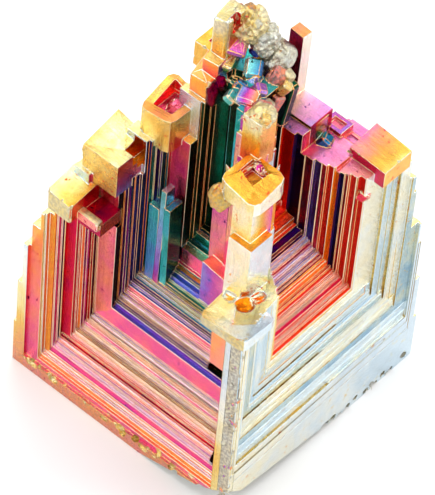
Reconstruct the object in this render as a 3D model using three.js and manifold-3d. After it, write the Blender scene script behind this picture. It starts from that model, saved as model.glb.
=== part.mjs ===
// Bismuth hopper crystal: one solid, millimetres, +Z up, standing on its broken flat base.
// Dimensions are measured from the front corner of the crystal, x along the right-hand face,
// y along the left-hand face, z from the first terrace; the whole is then moved onto its centre.
import * as THREE from 'three';
import { mergeVertices } from 'three/addons/utils/BufferGeometryUtils.js';
import Module from 'manifold-3d';

const wasm = await Module();
wasm.setup();

// Base and overall size
const SIDE_X = 35.3;
const SIDE_Y = 35.2;
const BASE_Z = -3.6;
const CENTRE = { x: SIDE_X / 2, y: SIDE_Y / 2 };
const ABOVE = 90;
const COLOUR = 0xc79a8c;

// Outer steps of the body: [x0, x1, y0, y1, top], narrowing as they rise
const BODY = [
  [0, SIDE_X, 0, SIDE_Y, 4.0],
  [0, 34.7, 0, 34.8, 12.0],
  [0, 33.8, 0, 34.1, 19.5],
  [0, 33.3, 0, 33.2, 23.5],
  [0, 31.7, 0, 31.9, 26.5],
  [0, 31.7, 0, 30.6, 30.4],
  [3.8, 18.0, 17.5, 30.0, 34.0],
  [8.6, 18.0, 17.5, 26.4, 39.5],
  [13.0, 18.0, 17.5, 22.6, 46.0],
  [5.9, 18.0, 5.2, 18.0, 37.5],
  [9.3, 18.0, 7.8, 18.0, 47.0],
  [17.5, 31.2, 0, 18.0, 33.4],
  [17.5, 30.4, 0, 18.0, 36.6],
  [17.5, 28.6, 0, 18.0, 39.0],
  [17.5, 25.2, 5.0, 18.0, 39.6],
  [17.5, 24.4, 9.4, 18.0, 42.6],
  [17.5, 31.0, 17.5, 31.5, 34.3],
  [17.5, 27.5, 17.5, 28.0, 38.6],
  [17.5, 23.6, 17.5, 23.6, 44.5],
  [12.3, 18.6, 11.0, 16.6, 49.6],
  [15.0, 21.6, 16.0, 20.7, 49.6],
];

// Terraces of the left-hand funnel: [depth, near wall, far wall, floor]
const LEFT_TERRACES = [
  [0.4, 2.6, 33.4, -1.5],
  [0.8, 2.6, 31.4, -0.7],
  [1.2, 2.7, 31.2, 0.1],
  [1.6, 2.9, 30.3, 0.9],
  [2.0, 3.2, 30.1, 1.7],
  [2.4, 3.5, 29.9, 2.5],
  [2.8, 3.8, 29.8, 3.2],
  [3.2, 4.1, 28.4, 4.0],
  [3.6, 4.5, 28.2, 4.7],
  [4.0, 4.8, 27.7, 5.4],
  [4.4, 5.1, 27.5, 6.1],
  [4.9, 5.5, 27.1, 6.9],
  [5.5, 6.0, 26.9, 7.8],
  [6.1, 6.5, 24.4, 10.8],
  [6.7, 7.0, 24.2, 11.9],
  [7.3, 7.5, 23.8, 12.9],
  [7.9, 8.0, 23.6, 14.0],
  [8.6, 8.6, 23.3, 15.0],
  [9.3, 9.2, 22.9, 16.0],
  [10.1, 9.9, 22.7, 16.9],
  [10.9, 10.6, 22.4, 17.7],
  [11.8, 11.4, 22.1, 18.5],
  [12.7, 13.0, 19.4, 21.0],
  [13.8, 15.2, 18.9, 22.0],
  [15.0, 16.3, 18.7, 23.2],
];

// Terraces of the right-hand funnel, the first four only shallow steps in its broad pale border
const RIGHT_TERRACES = [
  [0.25, 1.3, 32.9, 6.0],
  [0.5, 1.9, 30.6, 9.9],
  [0.85, 2.6, 28.4, 13.0],
  [1.2, 4.6, 26.2, 15.2],
  [1.6, 7.7, 22.8, 18.4],
  [2.1, 8.1, 22.5, 19.0],
  [2.6, 8.5, 22.0, 19.7],
  [3.1, 8.9, 21.9, 20.4],
  [3.6, 9.3, 21.5, 21.1],
  [4.1, 9.7, 21.4, 21.8],
  [4.7, 10.1, 21.0, 22.5],
  [5.4, 10.6, 20.8, 23.3],
  [6.2, 11.2, 20.4, 24.1],
  [7.0, 11.8, 20.3, 25.0],
  [8.0, 12.6, 20.0, 26.0],
  [9.2, 13.6, 19.8, 27.2],
  [11.0, 15.2, 19.4, 29.0],
  [12.6, 16.2, 19.0, 31.0],
];

// Terraces of the funnel behind the right-hand ridge
const REAR_RIGHT_TERRACES = [
  [1.2, 3.6, 32.0, -0.6],
  [1.9, 4.3, 31.3, 0.8],
  [2.6, 5.0, 30.6, 2.2],
  [3.3, 5.7, 29.9, 3.6],
  [4.1, 6.3, 29.0, 5.2],
  [5.0, 7.0, 28.2, 6.8],
  [6.0, 8.2, 27.0, 9.4],
  [7.0, 8.9, 26.4, 11.0],
  [8.1, 9.6, 25.6, 12.8],
  [9.3, 10.6, 24.8, 15.0],
  [10.5, 11.4, 24.2, 17.0],
  [11.8, 12.6, 22.6, 20.0],
  [13.2, 13.4, 21.8, 22.4],
  [14.6, 14.4, 20.6, 25.0],
];

// Terraces of the funnel behind the left-hand ridge
const REAR_LEFT_TERRACES = [
  [1.0, 3.2, 31.6, -0.4],
  [1.7, 4.0, 31.0, 1.2],
  [2.4, 4.6, 30.2, 2.6],
  [3.2, 5.4, 29.6, 4.2],
  [4.0, 6.0, 28.8, 5.6],
  [5.0, 7.0, 28.0, 7.4],
  [6.2, 8.4, 26.6, 10.6],
  [7.2, 9.2, 26.0, 12.2],
  [8.4, 10.0, 25.2, 14.2],
  [9.6, 11.0, 24.4, 16.6],
  [10.9, 12.0, 23.6, 19.0],
  [12.2, 13.2, 22.4, 22.0],
  [13.6, 14.2, 21.6, 24.6],
];

// Blocks and columns grown on the four ridges: [x0, x1, y0, y1, z0, z1]
const BLOCKS = [
  [0, 5.4, 0, 6.6, 28.9, 30.7],
  [4.8, 8.6, 4, 7.4, 29, 39],
  [5.8, 9.4, 4.9, 7.9, 37, 47],
  [4.2, 9.8, 3.5, 9.1, 45.6, 48.4],
  [9.4, 12.2, 7.7, 10.4, 46, 54],
  [1, 4, 2.6, 5.4, 21.2, 28.4],
  [10, 13, 11, 14.7, 15, 23.2],
  [12, 14.5, 12, 15.3, 15, 33.8],
  [8.7, 11, 5.6, 8.8, 25, 45],
  [9, 11.2, 21, 22.5, 15, 28.6],
  [9.2, 11.5, 19.3, 20.3, 15, 29.8],
  [9, 10.6, 20.4, 21.1, 15, 33.2],
  [0, 5.2, 27, 30.7, 29, 32.3],
  [1.8, 5.4, 23.8, 27.4, 27.6, 29.6],
  [1.3, 2.5, 23.9, 28.4, 28.6, 30.2],
  [4.3, 10.2, 23.8, 29.3, 32.6, 38],
  [9.4, 15.3, 20.7, 25.6, 38.6, 44],
  [13.6, 16.8, 18.9, 21.7, 43, 48.8],
  [14.8, 18.4, 19, 21.2, 46, 51.2],
  [16, 19.4, 18.8, 21.3, 47, 57.4],
  [23.9, 28.7, 0, 5.5, 37.6, 40.4],
  [24.9, 27.2, 7.6, 10.5, 36, 40.2],
  [25.1, 27, 5.2, 7.8, 36, 39.2],
  [21.2, 25.2, 9.4, 14.6, 38, 43],
  [23.8, 25.3, 13.9, 16, 38, 52.8],
  [27, 31.2, 27.4, 32, 32, 36],
  [22.8, 26.8, 22.6, 26.6, 36, 41],
  [19.8, 23, 19.4, 22.6, 42, 46.5],
];

// Small stepped pits in the tops of the blocks: [x0, x1, y0, y1, floor]
const PITS = [
  [3.3, 5.3, 2.8, 4.5, 30.0],
  [6.35, 9.05, 5.45, 8.15, 47.8],
  [6.75, 8.65, 5.85, 7.75, 46.8],
  [10.75, 14.55, 21.75, 24.55, 43.2],
  [11.2, 14.1, 22.2, 24.1, 42.2],
  [7.0, 10.4, 23.4, 25.2, 36.2],
  [7.8, 10.4, 23.4, 24.6, 35.2],
  [17.0, 18.2, 18.6, 19.4, 54.8],
  [2.2, 6.2, 24.2, 26.0, 25.8],
  [6.3, 7.1, 7.0, 9.6, 10.9],
  [2.0, 2.7, 3.0, 4.6, 1.6],
  [25.45, 26.65, 8.15, 9.95, 39.7],
  [25.6, 26.5, 5.7, 7.3, 38.7],
  [28.2, 30.0, 28.6, 30.8, 35.0],
  [23.9, 25.7, 23.7, 25.5, 40.0],
];

// Knobbly lumps frozen on the tops: [x, y, z, rx, ry, rz]
const LUMPS = [
  [19.7, 18.3, 54.6, 2.2, 2.2, 2.6],
  [20.4, 16.6, 53.0, 1.9, 1.9, 2.2],
  [21.4, 15.2, 50.4, 2.1, 1.7, 1.9],
  [19.4, 13.6, 49.0, 2.0, 1.5, 2.6],
  [11.0, 9.0, 54.3, 1.7, 1.7, 1.2],
  [13.4, 10.6, 50.0, 1.6, 1.5, 2.4],
  [5.6, 8.7, 45.4, 1.3, 1.3, 1.7],
  [14.0, 18.5, 47.2, 1.1, 1.0, 2.3],
  [14.8, 18.2, 49.2, 0.9, 0.9, 1.2],
];

// Facets and slabs grown at odd angles: [x, y, z, length, width, height, turn about x, y, z]
const CRAGS = [
  [17.9, 18.6, 52.4, 2.6, 2.4, 1.6, 20, -25, 30],
  [16.9, 19.0, 50.3, 2.4, 1.6, 1.0, 5, -10, 20],
  [19.8, 17.0, 51.6, 2.0, 1.6, 1.6, 30, 15, 10],
  [18.2, 16.2, 49.8, 2.6, 2.2, 2.6, 12, -18, 35],
  [17.4, 15.4, 49.2, 1.8, 1.8, 2.2, -20, 25, 12],
  [19.2, 14.6, 48.6, 1.3, 1.6, 4.0, 18, 22, 10],
  [19.8, 13.2, 48.6, 1.5, 1.5, 4.2, 14, 20, -15],
  [17.8, 12.6, 47.2, 1.8, 1.4, 3.0, 10, 25, -10],
  [18.8, 12.0, 49.6, 1.2, 1.2, 2.0, 30, 10, 25],
  [14.7, 14.0, 49.6, 2.2, 2.6, 2.0, 0, -12, 18],
  [21.8, 15.3, 51.6, 2.6, 1.4, 1.2, 25, 30, 20],
  [16.2, 17.2, 49.6, 1.4, 1.6, 1.6, 30, 10, 40],
  [15.6, 16.0, 49.4, 1.2, 1.4, 1.4, 15, 35, 20],
  [13.2, 12.4, 49.2, 1.6, 1.6, 1.4, 10, 15, 35],
  [13.6, 15.6, 49.4, 1.5, 1.4, 1.2, 35, 10, 15],
  [16.2, 13.6, 50.0, 1.6, 1.6, 1.6, 25, 20, 50],
  [15.4, 11.8, 49.2, 1.6, 1.3, 1.8, 20, 30, 10],
  [20.6, 15.0, 49.6, 1.6, 1.5, 1.8, 40, 10, 20],
  [20.2, 12.5, 45.6, 1.4, 1.4, 6.8, 5, 6, 0],
  [18.9, 19.6, 56.6, 1.6, 1.4, 1.4, 30, 20, 10],
  [19.9, 18.9, 56.8, 1.2, 1.2, 1.2, 45, 30, 10],
  [20.9, 17.7, 55.2, 1.4, 1.2, 1.4, 15, 40, 30],
  [21.4, 16.5, 53.8, 1.4, 1.3, 1.3, 35, 20, 45],
  [19.3, 17.2, 56.0, 1.1, 1.1, 1.1, 20, 50, 15],
  [10.4, 8.0, 54.2, 1.2, 1.2, 1.0, 25, 15, 40],
  [11.7, 8.7, 53.8, 1.3, 1.2, 1.6, 40, 15, 20],
  [12.3, 9.8, 52.6, 1.2, 1.0, 1.8, 20, 35, 10],
  [21.4, 10.9, 41.0, 1.6, 2.4, 2.0, 10, 20, 0],
  [23.2, 8.6, 39.6, 1.8, 1.6, 1.8, 30, 20, 15],
  [23.4, 6.6, 37.6, 1.4, 1.6, 2.6, 20, 10, 30],
  [22.8, 4.6, 36.0, 1.2, 1.6, 2.2, 15, 20, 40],
  [23.0, 2.2, 35.6, 1.4, 1.6, 1.6, 30, 15, 25],
];

// Broken underside at the front corner: where the break meets each edge
const BREAK = { x: 24.0, y: 14.0, z: -0.4 };
const CORNER_BREAK = { x: 6.0, y: 7.0, z: 1.6 };

function box(x0, x1, y0, y1, z0, z1) {
  const geometry = new THREE.BoxGeometry(x1 - x0, y1 - y0, z1 - z0);
  geometry.translate((x0 + x1) / 2, (y0 + y1) / 2, (z0 + z1) / 2);
  return solid(geometry);
}

function lump(x, y, z, rx, ry, rz) {
  const geometry = new THREE.IcosahedronGeometry(1, 1);
  const spot = geometry.getAttribute('position');
  for (let i = 0; i < spot.count; i += 1) {
    const a = 7.1 * spot.getX(i) + 3.3 * spot.getY(i) + x;
    const b = 5.7 * spot.getZ(i) - 4.1 * spot.getX(i) + y;
    const swell = 0.92 + 0.12 * Math.sin(a) * Math.cos(b);
    spot.setXYZ(i, spot.getX(i) * swell, spot.getY(i) * swell, spot.getZ(i) * swell);
  }
  geometry.scale(rx, ry, rz);
  geometry.translate(x, y, z);
  return solid(geometry);
}

function crag(x, y, z, length, width, height, turnX, turnY, turnZ) {
  const block = box(-length / 2, length / 2, -width / 2, width / 2, -height / 2, height / 2);
  return block.rotate([0, 0, turnZ]).rotate([0, turnY, 0]).rotate([turnX, 0, 0]).translate([x, y, z]);
}

function solid(geometry) {
  geometry.deleteAttribute('normal');
  geometry.deleteAttribute('uv');
  const merged = mergeVertices(geometry, 1e-5);
  const mesh = new wasm.Mesh({
    numProp: 3,
    vertProperties: new Float32Array(merged.getAttribute('position').array),
    triVerts: new Uint32Array(merged.getIndex().array),
  });
  return new wasm.Manifold(mesh);
}

// The wedge under a plane that cuts the x, y and z edges of the front corner
function cornerWedge(cut) {
  const low = BASE_Z - 2;
  const drop = cut.z - BASE_Z;
  const reachX = (cut.x * (cut.z - low)) / drop;
  const reachY = (cut.y * (cut.z - low)) / drop;
  const shape = new THREE.BufferGeometry();
  const out = 6;
  const rise = cut.z + out * (drop / cut.x + drop / cut.y);
  const corners = [
    [-out, -out, rise],
    [reachX + out * (reachX / reachY), -out, low],
    [-out, reachY + out * (reachY / reachX), low],
    [-out, -out, low],
  ];
  shape.setAttribute('position', new THREE.Float32BufferAttribute(corners.flat(), 3));
  shape.setIndex([0, 1, 2, 0, 3, 1, 0, 2, 3, 1, 3, 2]);
  const mesh = new wasm.Mesh({
    numProp: 3,
    vertProperties: new Float32Array(shape.getAttribute('position').array),
    triVerts: new Uint32Array(shape.getIndex().array),
  });
  return new wasm.Manifold(mesh);
}

let crystal = box(...BODY[0].slice(0, 4), BASE_Z, BODY[0][4]);
for (const [x0, x1, y0, y1, top] of BODY.slice(1)) {
  crystal = crystal.add(box(x0, x1, y0, y1, BASE_Z, top));
}
for (const [depth, near, far, floor] of LEFT_TERRACES) {
  crystal = crystal.subtract(box(-2, depth, near, far, floor, ABOVE));
}
for (const [depth, near, far, floor] of RIGHT_TERRACES) {
  crystal = crystal.subtract(box(near, far, -2, depth, floor, ABOVE));
}
for (const [depth, near, far, floor] of REAR_RIGHT_TERRACES) {
  crystal = crystal.subtract(box(SIDE_X - depth, SIDE_X + 2, near, far, floor, ABOVE));
}
for (const [depth, near, far, floor] of REAR_LEFT_TERRACES) {
  crystal = crystal.subtract(box(near, far, SIDE_Y - depth, SIDE_Y + 2, floor, ABOVE));
}
for (const block of BLOCKS) {
  crystal = crystal.add(box(...block));
}
for (const [x0, x1, y0, y1, floor] of PITS) {
  crystal = crystal.subtract(box(x0, x1, y0, y1, floor, floor + 3));
}
for (const one of LUMPS) {
  crystal = crystal.add(lump(...one));
}
for (const one of CRAGS) {
  crystal = crystal.add(crag(...one));
}
crystal = crystal.subtract(cornerWedge(BREAK));
crystal = crystal.subtract(cornerWedge(CORNER_BREAK));

const mesh = crystal.getMesh();
const shape = new THREE.BufferGeometry();
shape.setAttribute('position', new THREE.Float32BufferAttribute(mesh.vertProperties, 3));
shape.setIndex(Array.from(mesh.triVerts));
shape.translate(-CENTRE.x, -CENTRE.y, -BASE_Z);
shape.computeVertexNormals();

const bismuth = new THREE.MeshStandardMaterial({ color: COLOUR, roughness: 0.3, metalness: 1.0 });
bismuth.name = 'bismuth_oxide_film';
const body = new THREE.Mesh(shape, bismuth);
body.name = 'bismuth_crystal';
const group = new THREE.Group();
group.name = 'bismuth_hopper_crystal';
group.add(body);

export default group;
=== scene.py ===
import math
import random

import bpy
from mathutils import Matrix, Vector, noise


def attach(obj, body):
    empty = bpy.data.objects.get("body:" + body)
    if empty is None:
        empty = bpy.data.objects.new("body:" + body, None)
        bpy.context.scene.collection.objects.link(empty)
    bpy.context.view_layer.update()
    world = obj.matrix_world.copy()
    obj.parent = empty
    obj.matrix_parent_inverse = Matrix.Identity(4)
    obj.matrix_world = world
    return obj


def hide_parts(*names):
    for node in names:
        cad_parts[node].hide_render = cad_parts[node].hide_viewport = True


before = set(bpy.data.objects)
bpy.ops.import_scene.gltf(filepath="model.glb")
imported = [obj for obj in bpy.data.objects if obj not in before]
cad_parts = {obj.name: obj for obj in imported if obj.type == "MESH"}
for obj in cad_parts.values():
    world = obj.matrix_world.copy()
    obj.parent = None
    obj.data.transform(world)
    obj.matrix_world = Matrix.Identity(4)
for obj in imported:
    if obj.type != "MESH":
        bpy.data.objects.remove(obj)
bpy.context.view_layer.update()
scene = bpy.context.scene
random.seed(83)

# the crystal is worked in millimetres from its front corner, x along the right-hand face and
# y along the left-hand face, and is put in its place at the end
frontCorner = Vector((-17.65, -17.6, 3.6))


# camera and light

cameraSetup = {
    "target": (-1.713, -0.459, 22.873),  # mm
    "distance": 480.0,                   # mm
    "azimuth": -52.9,                    # degrees, 0 looks along +Y
    "elevation": 50.1,
    "roll": 5.65,
    "lens": 331.0,
}


def directionOf(azimuth, elevation):
    a = math.radians(azimuth)
    e = math.radians(elevation)
    return Vector((math.sin(a) * math.cos(e), -math.cos(a) * math.cos(e), math.sin(e)))


def addCamera(setup):
    a = math.radians(setup["azimuth"])
    r = math.radians(setup["roll"])
    back = directionOf(setup["azimuth"], setup["elevation"])
    right = Vector((math.cos(a), math.sin(a), 0.0))
    up = back.cross(right)
    tiltedRight = math.cos(r) * right + math.sin(r) * up
    tiltedUp = math.cos(r) * up - math.sin(r) * right
    turn = Matrix((tiltedRight, tiltedUp, back)).transposed()
    place = (Vector(setup["target"]) + back * setup["distance"]) / 1000.0
    bpy.ops.object.camera_add(location=place, rotation=turn.to_euler())
    camera = bpy.context.object
    camera.name = "studioCamera"
    camera.data.sensor_fit = "HORIZONTAL"
    camera.data.sensor_width = 36.0
    camera.data.lens = setup["lens"]
    camera.data.clip_start = 0.01
    camera.data.clip_end = 20.0
    scene.camera = camera


lightSetup = {
    "world": 0.57,
    # each soft box: azimuth, elevation, size in metres, brightness
    "boxes": {
        "back": (127.0, 50.0, 0.32, 1.7),
        "left": (-117.0, 31.0, 0.20, 4.6),
        "front": (34.0, 23.0, 0.20, 4.0),
        "top": (-10.0, 78.0, 0.22, 4.0),
    },
    "reach": 0.45,
}


def addLights(setup):
    world = bpy.data.worlds.new("studio")
    scene.world = world
    world.use_nodes = True
    ground = world.node_tree.nodes["Background"]
    ground.inputs["Color"].default_value = (1.0, 1.0, 1.0, 1.0)
    ground.inputs["Strength"].default_value = setup["world"]
    for name, (azimuth, elevation, size, brightness) in setup["boxes"].items():
        away = directionOf(azimuth, elevation)
        place = Vector((0, 0, 0.03)) + away * setup["reach"]
        turn = away.to_track_quat("Z", "Y").to_euler()
        bpy.ops.object.light_add(type="AREA", location=place, rotation=turn)
        lamp = bpy.context.object
        lamp.name = name + "SoftBox"
        lamp.data.size = size
        lamp.data.energy = brightness * math.pi * size * size


addCamera(cameraSetup)
addLights(lightSetup)
scene.view_settings.view_transform = "Standard"
scene.view_settings.look = "Medium High Contrast"
print("camera and light ready")


# finishes: how thick the oxide film has grown, how deep its colour is, how rough it is; a deeper
# colour is darker and fuller, and the darkest finishes (black, bottle, maroon) are painted shade
# where they stand in deep hollows

finishes = {
    "silver": (0.03, 0.0, 0.0), "pale": (0.07, 0.0, 0.0), "cream": (0.12, 0.0, 0.0),
    "straw": (0.19, 0.0, 0.0), "yellow": (0.24, 0.0, 0.0), "gold": (0.29, 0.1, 0.0),
    "amber": (0.31, 0.9, 0.0), "peach": (0.35, 0.0, 0.0), "orange": (0.37, 0.25, 0.0),
    "salmon": (0.43, 0.0, 0.0), "red": (0.45, 0.9, 0.0), "crimson": (0.50, 0.8, 0.0),
    "pink": (0.49, 0.0, 0.0), "magenta": (0.56, 0.25, 0.0), "purple": (0.64, 0.25, 0.0),
    "lilac": (0.68, -0.1, 0.0), "mauve": (0.62, -0.1, 0.25), "blue": (0.76, 0.15, 0.0),
    "slate": (0.78, 0.7, 0.1), "teal": (0.85, 0.1, 0.0), "mint": (0.88, -0.4, 0.0),
    "green": (0.93, 0.5, 0.0), "bottle": (0.95, 1.3, 0.0), "black": (0.97, 2.2, 0.0),
    "brown": (0.36, 1.4, 0.1), "maroon": (0.60, 3.2, -0.6), "wine": (0.54, 1.7, 0.0),
    "beige": (0.16, 0.5, 0.6), "grey": (0.08, 0.9, 0.7), "rough": (0.25, 0.7, 0.9),
    "roughPink": (0.42, 0.15, 0.9), "sand": (0.24, 0.1, 0.4), "grain": (0.10, 0.4, 0.9),
    "rim": (0.38, 0.0, 0.4), "groove": (0.15, 1.6, 0.4),
}


def finishAt(choice, spot):
    if isinstance(choice, str):
        return Vector(finishes[choice])
    if len(choice) == 2:  # a finish, and how much thicker its film is and how much deeper it looks; the terraces use this for painted highlights on treads and painted shade on reveals and risers
        return finishAt(choice[0], spot) + Vector((*choice[1], 0.0))
    first, second, axis, start, end = choice  # a drift from one finish to another along an axis
    share = (spot[axis] - start) / (end - start)
    share = min(max(share, -0.6), 1.6)
    return finishAt(first, spot).lerp(finishAt(second, spot), share)


def paintPiece(piece, choose, lines):
    mesh = piece.data
    coats = []
    grains = []
    for face in mesh.polygons:
        choice = choose(face.center, face.normal)
        axis = lines(face.center, face.normal)
        for index in face.vertices:
            spot = mesh.vertices[index].co
            coats.extend(finishAt(choice, spot))
            grains.append(spot[axis])
    mesh.attributes.new("finish", "FLOAT_VECTOR", "CORNER")
    mesh.attributes.new("lines", "FLOAT", "CORNER")
    mesh.attributes["finish"].data.foreach_set("vector", coats)
    mesh.attributes["lines"].data.foreach_set("value", grains)


# modelling helpers

def clearChoice():
    if bpy.context.object and bpy.context.object.mode != "OBJECT":
        bpy.ops.object.mode_set(mode="OBJECT")
    bpy.ops.object.select_all(action="DESELECT")


def addBlock(box, name="block"):
    x0, x1, y0, y1, z0, z1 = box
    clearChoice()
    bpy.ops.mesh.primitive_cube_add(size=1.0, location=((x0 + x1) / 2, (y0 + y1) / 2, (z0 + z1) / 2),
                                    scale=(x1 - x0, y1 - y0, z1 - z0))
    block = bpy.context.object
    block.name = name
    bpy.ops.object.transform_apply(location=True, rotation=True, scale=True)
    return block


def turnPiece(piece, pivot, turn):
    place = Matrix.Translation(pivot)
    piece.data.transform(place @ turn.to_4x4() @ place.inverted())


def smallTurn(x, y, z):
    return (Matrix.Rotation(math.radians(x), 3, "X") @ Matrix.Rotation(math.radians(y), 3, "Y")
            @ Matrix.Rotation(math.radians(z), 3, "Z"))


def combine(body, tool, how):
    clearChoice()
    bpy.context.view_layer.objects.active = body
    body.select_set(True)
    change = body.modifiers.new("cut", "BOOLEAN")
    change.operation = how
    change.solver = "MANIFOLD"
    change.object = tool
    bpy.ops.object.modifier_apply(modifier="cut")
    bpy.data.objects.remove(tool)


def mainAxis(normal):
    return max(range(3), key=lambda i: abs(normal[i]))


def sidesPaint(sides, default):
    names = {(0, False): "left", (0, True): "far", (1, False): "right", (1, True): "rear",
             (2, True): "top", (2, False): "under"}

    def choose(centre, normal):
        axis = mainAxis(normal)
        return sides.get(names[(axis, normal[axis] > 0)], default)
    return choose


def sideLines(centre, normal):
    return (1, 0, 0)[mainAxis(normal)]


# the body

body = {
    "base": -3.6,
    "side": (35.3, 35.2),
    # x0, x1, y0, y1, top, from the foot up
    "steps": [(0, 35.3, 0, 35.2, 4.0), (0, 34.7, 0, 34.8, 12.0), (0, 33.8, 0, 34.1, 19.5),
        (0, 33.3, 0, 33.2, 23.5), (0, 31.7, 0, 31.9, 26.5), (0, 31.7, 0, 30.6, 30.4),
        (3.8, 18.0, 17.5, 30.0, 34.0), (8.6, 18.0, 17.5, 26.4, 39.5),
        (13.0, 18.0, 17.5, 22.6, 46.0), (5.9, 18.0, 5.2, 18.0, 37.5),
        (9.3, 18.0, 7.8, 18.0, 47.0), (17.5, 31.2, 0, 18.0, 33.4), (17.5, 30.4, 0, 18.0, 36.6),
        (17.5, 28.6, 0, 18.0, 39.0), (17.5, 25.2, 5.0, 18.0, 39.6), (17.5, 24.4, 9.4, 18.0, 42.6),
        (17.5, 31.0, 17.5, 31.5, 34.3), (17.5, 27.5, 17.5, 28.0, 38.6),
        (17.5, 23.6, 17.5, 23.6, 44.5), (12.3, 18.6, 11.0, 16.6, 49.6),
        (15.0, 21.6, 16.0, 20.7, 49.6)],
    "sides": {"left": ("rim", "cream", 2, -2.0, 14.0), "right": ("cream", "silver", 0, 0.5, 7.0),
        "top": "straw", "far": ("silver", "peach", 1, 2.0, 20.0),
        "rear": ("straw", "pink", 0, 2.0, 34.0), "under": "grey"},
    "ridgeTops": (39.0, 39.6, 42.6),
    "ridge": {"left": "bottle", "right": ("wine", "cream", 0, 20.5, 24.0),
        "top": (("mauve", (0.0, -0.3)), ("salmon", (0.0, -0.2)), 1, 12.0, 2.0), "far": "peach",
        "rear": "purple"},
    "core": {"left": ("lilac", "pink", 1, 14.5, 11.0), "right": "bottle", "top": "teal",
        "far": "purple", "rear": "magenta"},
}

# each terrace: depth, near wall, far wall, floor, finish of its floor, finish of its wall, and
# how many fine steps lead on to the next
# the darkest finishes deep in the funnels, such as black, bottle and maroon, are partly painted shade
leftFunnel = [
    (0.4, 2.6, 33.4, -1.5, "rim", ("straw", "salmon", 2, 24.0, 4.0), 1),
    (0.8, 2.6, 31.4, -0.7, "peach", "straw", 1),
    (1.2, 2.7, 31.2, 0.1, "salmon", "peach", 2),
    (1.6, 2.9, 30.3, 0.9, "pink", "peach", 1),
    (2.0, 3.2, 30.1, 1.7, "magenta", "pink", 2),
    (2.4, 3.5, 29.9, 2.5, "salmon", "magenta", 2),
    (2.8, 3.8, 29.8, 3.2, "crimson", "crimson", 2),
    (3.2, 4.1, 28.4, 4.0, "pink", "pink", 3),
    (3.6, 4.5, 28.2, 4.7, "wine", "gold", 2),
    (4.0, 4.8, 27.7, 5.4, "magenta", "pink", 3),
    (4.4, 5.1, 27.5, 6.1, "pink", "crimson", 3),
    (4.9, 5.5, 27.1, 6.9, "purple", "wine", 3),
    (5.5, 6.0, 26.9, 7.8, "pink", ("pink", "salmon", 2, 26.0, 12.0), 1),
    (6.1, 6.5, 24.4, 10.8, "purple", "black", 2),
    (6.7, 7.0, 24.2, 11.9, "magenta", "magenta", 3),
    (7.3, 7.5, 23.8, 12.9, "pink", "slate", 2),
    (7.9, 8.0, 23.6, 14.0, "purple", "purple", 2),
    (8.6, 8.6, 23.3, 15.0, "blue", "slate", 3),
    (9.3, 9.2, 22.9, 16.0, "teal", "teal", 2),
    (10.1, 9.9, 22.7, 16.9, "lilac", "purple", 2),
    (10.9, 10.6, 22.4, 17.7, "blue", "slate", 2),
    (11.8, 11.4, 22.1, 18.5, "pink", ("crimson", "salmon", 1, 22.3, 20.4), 1),
    (12.7, 13.0, 19.4, 21.0, "teal", "bottle", 2),
    (13.8, 15.2, 18.9, 22.0, "mint", "green", 2),
    (15.0, 16.3, 18.7, 23.2, "green", "bottle", 1),
]
rightFunnel = [
    (0.25, 1.3, 32.9, 6.0, "silver", "silver", 3),
    (0.5, 1.9, 30.6, 9.9, "cream", "pale", 3),
    (0.85, 2.6, 28.4, 13.0, "pale", "silver", 3),
    (1.2, 4.6, 26.2, 15.2, "silver", "pale", 3),
    (1.6, 7.7, 22.8, 18.4, "yellow", "gold", 1),
    (2.1, 8.1, 22.5, 19.0, "amber", "brown", 2),
    (2.6, 8.5, 22.0, 19.7, "red", "red", 1),
    (3.1, 8.9, 21.9, 20.4, "red", "brown", 3),
    (3.6, 9.3, 21.5, 21.1, "amber", "crimson", 2),
    (4.1, 9.7, 21.4, 21.8, "brown", "maroon", 2),
    (4.7, 10.1, 21.0, 22.5, "gold", "gold", 2),
    (5.4, 10.6, 20.8, 23.3, "crimson", "brown", 3),
    (6.2, 11.2, 20.4, 24.1, "purple", "crimson", 2),
    (7.0, 11.8, 20.3, 25.0, "crimson", "purple", 3),
    (8.0, 12.6, 20.0, 26.0, "wine", "wine", 2),
    (9.2, 13.6, 19.8, 27.2, "amber", "maroon", 2),
    (11.0, 15.2, 19.4, 29.0, "brown", "amber", 2),
    (12.6, 16.2, 19.0, 31.0, "black", "black", 1),
]
rearRightFunnel = [
    (1.2, 3.6, 32.0, -0.6, "straw", "cream", 2),
    (1.9, 4.3, 31.3, 0.8, "gold", "yellow", 2),
    (2.6, 5.0, 30.6, 2.2, "peach", "gold", 2),
    (3.3, 5.7, 29.9, 3.6, "salmon", "orange", 2),
    (4.1, 6.3, 29.0, 5.2, "pink", "pink", 2),
    (5.0, 7.0, 28.2, 6.8, "magenta", "crimson", 2),
    (6.0, 8.2, 27.0, 9.4, "salmon", "lilac", 1),
    (7.0, 8.9, 26.4, 11.0, "purple", "purple", 2),
    (8.1, 9.6, 25.6, 12.8, "lilac", "wine", 2),
    (9.3, 10.6, 24.8, 15.0, "blue", "blue", 2),
    (10.5, 11.4, 24.2, 17.0, "teal", "slate", 2),
    (11.8, 12.6, 22.6, 20.0, "pink", "teal", 1),
    (13.2, 13.4, 21.8, 22.4, "green", "green", 2),
    (14.6, 14.4, 20.6, 25.0, "bottle", "bottle", 1),
]
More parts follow.
